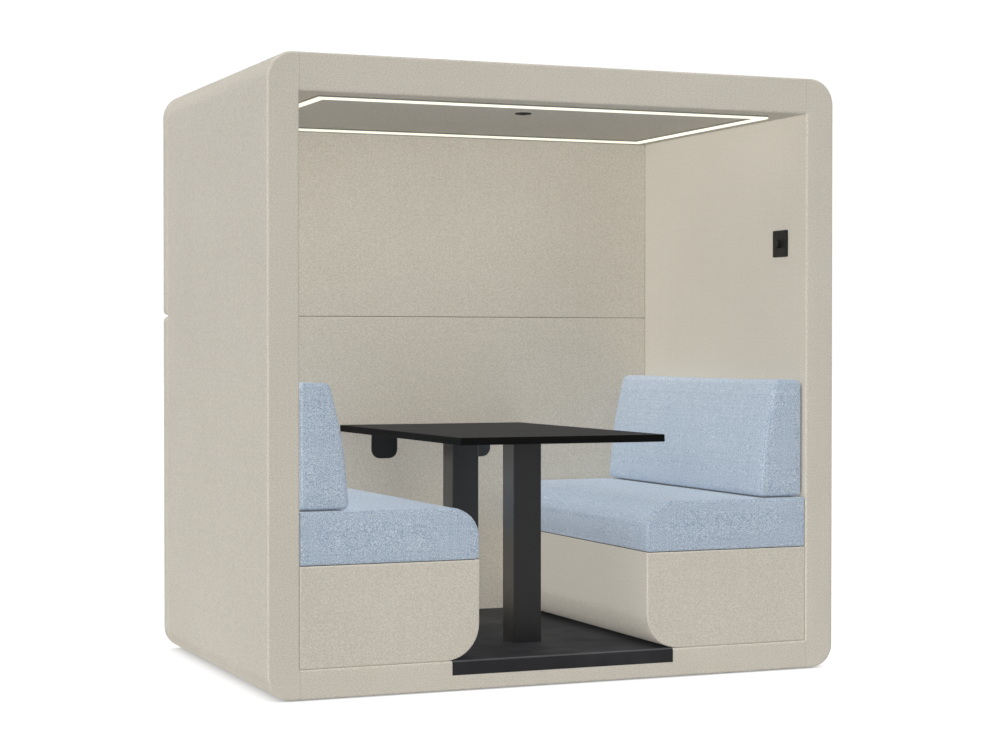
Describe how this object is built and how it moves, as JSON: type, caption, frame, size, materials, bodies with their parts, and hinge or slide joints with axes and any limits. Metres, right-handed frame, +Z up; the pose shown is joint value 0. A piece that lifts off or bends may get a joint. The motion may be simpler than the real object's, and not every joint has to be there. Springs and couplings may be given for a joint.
{
  "type": "acoustic office pod",
  "caption": "Upholstered meeting pod, open at the front: facing padded benches, a fixed table on columns, a ceiling light ring, a presence sensor and a wall dimmer.",
  "frame": {"origin": "on the ground under the middle of the pod's outer box", "axes": "+X to the right seen from the open front, +Y from the open front to the back, +Z up"},
  "size_m": [2.1, 1.4, 2.104],
  "materials": {
    "shell_fabric": "beige woven upholstery, matt",
    "cushion_fabric": "light blue heathered upholstery, matt",
    "black_laminate": "black laminate, satin",
    "black_steel": "black powder coat, fine texture",
    "floor_rubber": "black floor covering, matt",
    "dark_board": "black stained board",
    "birch": "raw birch plywood",
    "zinc_steel": "zinc plated",
    "aluminium": "natural anodised",
    "opal_plastic": "opal, lit warm white",
    "light_board": "white circuit board",
    "driver_casing": "white",
    "black_plastic": "black, fine matt",
    "foot_rubber": "black"
  },
  "bodies": {
    "pod": {"back_lining_lower": "shell_fabric", "back_lining_upper": "shell_fabric", "back_panel_lower": "shell_fabric", "back_panel_upper": "shell_fabric", "dimmer_box": "black_plastic", "dimmer_module": "black_plastic", "dimmer_plate": "black_plastic", "floor_inlay": "floor_rubber", "floor_panel": "shell_fabric", "foot_insert_front_left": "zinc_steel", "foot_insert_front_middle": "zinc_steel", "foot_insert_front_right": "zinc_steel", "foot_insert_rear_left": "zinc_steel", "foot_insert_rear_middle": "zinc_steel", "foot_insert_rear_right": "zinc_steel", "front_base_plate": "black_steel", "front_column": "black_steel", "front_top_plate": "black_steel", "left_back_board": "dark_board", "left_back_cushion": "cushion_fabric", "left_bench_base": "shell_fabric", "left_seat_board": "dark_board", "left_seat_cushion": "cushion_fabric", "left_side_wall": "shell_fabric", "left_table_bracket": "black_steel", "light_channel": "aluminium", "light_diffuser": "opal_plastic", "light_driver": "driver_casing", "light_strip": "light_board", "rear_base_plate": "black_steel", "rear_column": "black_steel", "rear_top_plate": "black_steel", "right_back_board": "dark_board", "right_back_cushion": "cushion_fabric", "right_bench_base": "shell_fabric", "right_seat_board": "dark_board", "right_seat_cushion": "cushion_fabric", "right_side_wall": "shell_fabric", "right_table_bracket": "black_steel", "roof_panel": "shell_fabric", "sensor_bezel": "black_plastic", "sensor_lens": "black_plastic", "service_hatch": "shell_fabric", "spline_floor_left": "birch", "spline_floor_right": "birch", "spline_roof_left": "birch", "spline_roof_right": "birch", "table_top": "black_laminate"},
    "knob": {"dimmer_knob": "black_plastic"},
    "foot_front_left_body": {"foot_front_left": "foot_rubber"},
    "foot_front_middle_body": {"foot_front_middle": "foot_rubber"},
    "foot_front_right_body": {"foot_front_right": "foot_rubber"},
    "foot_rear_left_body": {"foot_rear_left": "foot_rubber"},
    "foot_rear_middle_body": {"foot_rear_middle": "foot_rubber"},
    "foot_rear_right_body": {"foot_rear_right": "foot_rubber"}
  },
  "joints": [
    {"name": "knob_turn", "type": "hinge", "parent": "pod", "child": "knob", "pos_m": [0.93, -0.523, 1.524], "axis": [-1, 0, 0], "range_deg": [0, 300]},
    {"name": "foot_front_left_turn", "type": "hinge", "parent": "pod", "child": "foot_front_left_body", "pos_m": [-0.85, -0.56, 0.02], "axis": [0, 0, 1], "range_deg": [-360, 360]},
    {"name": "foot_front_middle_turn", "type": "hinge", "parent": "pod", "child": "foot_front_middle_body", "pos_m": [0, -0.56, 0.02], "axis": [0, 0, 1], "range_deg": [-360, 360]},
    {"name": "foot_front_right_turn", "type": "hinge", "parent": "pod", "child": "foot_front_right_body", "pos_m": [0.85, -0.56, 0.02], "axis": [0, 0, 1], "range_deg": [-360, 360]},
    {"name": "foot_rear_left_turn", "type": "hinge", "parent": "pod", "child": "foot_rear_left_body", "pos_m": [-0.85, 0.49, 0.02], "axis": [0, 0, 1], "range_deg": [-360, 360]},
    {"name": "foot_rear_middle_turn", "type": "hinge", "parent": "pod", "child": "foot_rear_middle_body", "pos_m": [0, 0.49, 0.02], "axis": [0, 0, 1], "range_deg": [-360, 360]},
    {"name": "foot_rear_right_turn", "type": "hinge", "parent": "pod", "child": "foot_rear_right_body", "pos_m": [0.85, 0.49, 0.02], "axis": [0, 0, 1], "range_deg": [-360, 360]}
  ]
}
